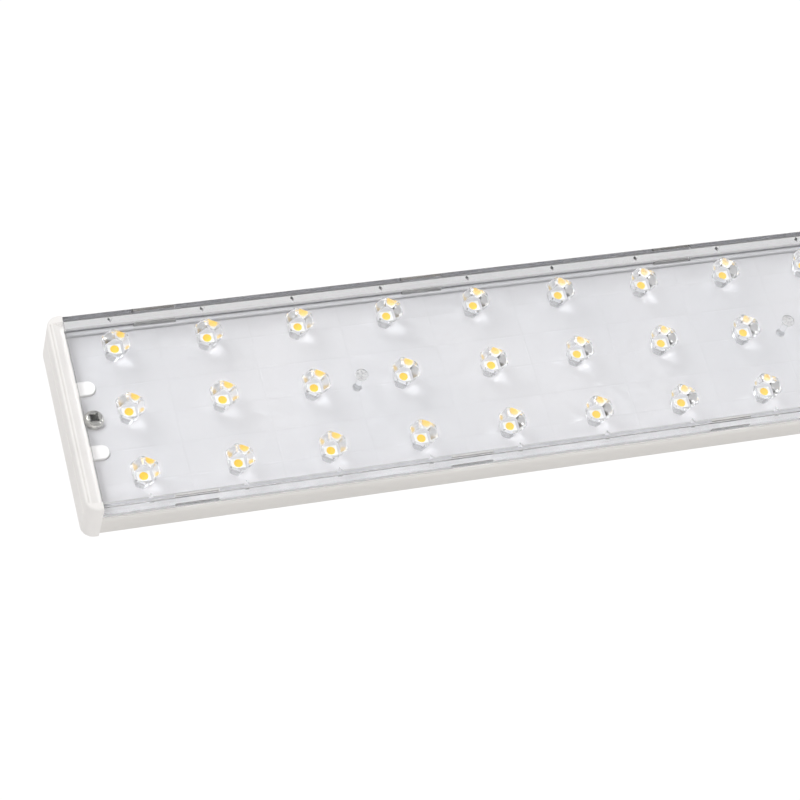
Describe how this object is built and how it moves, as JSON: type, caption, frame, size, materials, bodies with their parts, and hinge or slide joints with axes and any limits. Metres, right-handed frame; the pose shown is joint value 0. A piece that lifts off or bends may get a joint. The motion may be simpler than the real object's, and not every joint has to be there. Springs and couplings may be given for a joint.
{
  "type": "linear led light insert",
  "caption": "Long shallow linear LED light insert: white folded tray, clear covers with six-sided lenses, moulded end caps, rear driver, terminal block and quarter-turn latches.",
  "frame": {"origin": "centre of the bounding box at its lowest plane, which is the back of the driver", "axes": "+X along the batten, from the pictured end cap towards the far one; +Z out of the lit face"},
  "size_m": [0.569, 0.0586, 0.0302],
  "materials": {
    "aluminium": "mill finish",
    "black_can": "shrink sleeve",
    "black_epoxy": "moulded",
    "blue_block": "moulded",
    "blue_button": "moulded",
    "brass_bar": "plain",
    "clear_cover": "clear acrylic",
    "connector_white": "moulded",
    "copper_wire": "enamelled",
    "driver_white": "painted",
    "ferrite": "sintered",
    "foam": "closed-cell foam",
    "fuse_body": "ceramic",
    "galvanised": "galvanised sheet",
    "green_board": "solder mask",
    "green_button": "moulded",
    "grommet": "matt",
    "latch_grey": "glass-filled nylon",
    "led_frame": "white package",
    "nylon": "natural nylon",
    "orange_button": "moulded",
    "phosphor": "yellow phosphor",
    "pin_clear": "clear moulded pin, satin head",
    "terminal_black": "moulded",
    "terminal_grey": "moulded",
    "tinned": "tinned",
    "white_board": "white solder mask",
    "white_cap": "moulded, fine texture",
    "white_steel": "satin powder coat",
    "wire_black": "insulation",
    "wire_blue": "insulation",
    "wire_brown": "insulation",
    "wire_green": "insulation, green and yellow",
    "wire_red": "insulation",
    "yellow_tape": "polyester tape",
    "zinc_dull": "zinc plated",
    "zinc_screw": "bright zinc"
  },
  "bodies": {
    "batten": {"clinch_nuts": "zinc_dull", "cover_gaskets": "foam", "cover_pins": "pin_clear", "driver_base": "galvanised", "driver_board": "green_board", "driver_case": "driver_white", "driver_fuse": "fuse_body", "driver_heatsink": "aluminium", "driver_mains_terminal": "terminal_grey", "driver_output_terminal": "terminal_black", "driver_screws": "zinc_dull", "earth_nut": "zinc_dull", "earth_ring": "tinned", "earth_stud": "zinc_dull", "earth_washer": "zinc_dull", "electrolytic_capacitors": "black_can", "end_cap_left": "white_cap", "end_cap_right": "white_cap", "end_screws": "zinc_screw", "film_capacitor": "blue_block", "input_socket": "connector_white", "latch_rivets": "zinc_dull", "latch_washers": "zinc_dull", "lead_earth": "wire_green", "lead_grommet": "grommet", "lead_live": "wire_brown", "lead_negative": "wire_black", "lead_neutral": "wire_blue", "lead_positive": "wire_red", "led_board_left": "white_board", "led_board_right": "white_board", "led_frames": "led_frame", "led_phosphors": "phosphor", "lens_cover_left": "clear_cover", "lens_cover_right": "clear_cover", "link_blades": "tinned", "link_bridge": "connector_white", "link_sockets": "connector_white", "mains_choke": "copper_wire", "power_transistor": "black_epoxy", "terminal_contacts": "brass_bar", "terminal_housing": "terminal_grey", "terminal_screws": "zinc_dull", "transformer_coil": "yellow_tape", "transformer_core": "ferrite", "tray": "white_steel", "wire_clips": "nylon"},
    "latch_left_body": {"latch_left": "latch_grey"},
    "latch_right_body": {"latch_right": "latch_grey"},
    "button_live_body": {"button_live": "orange_button"},
    "button_neutral_body": {"button_neutral": "blue_button"},
    "button_earth_body": {"button_earth": "green_button"}
  },
  "joints": [
    {"name": "latch_left_turn", "type": "hinge", "parent": "batten", "child": "latch_left_body", "pos_m": [-0.248, 0, 0.012], "axis": [0, 0, 1], "range_deg": [0, 90]},
    {"name": "latch_right_turn", "type": "hinge", "parent": "batten", "child": "latch_right_body", "pos_m": [0.248, 0, 0.012], "axis": [0, 0, 1], "range_deg": [0, 90]},
    {"name": "button_live_press", "type": "slide", "parent": "batten", "child": "button_live_body", "axis": [0, 0, 1], "range_m": [0, 0.0012], "stiffness_N_per_m": 600, "springref_m": -0.0008},
    {"name": "button_neutral_press", "type": "slide", "parent": "batten", "child": "button_neutral_body", "axis": [0, 0, 1], "range_m": [0, 0.0012], "stiffness_N_per_m": 600, "springref_m": -0.0008},
    {"name": "button_earth_press", "type": "slide", "parent": "batten", "child": "button_earth_body", "axis": [0, 0, 1], "range_m": [0, 0.0012], "stiffness_N_per_m": 600, "springref_m": -0.0008}
  ]
}
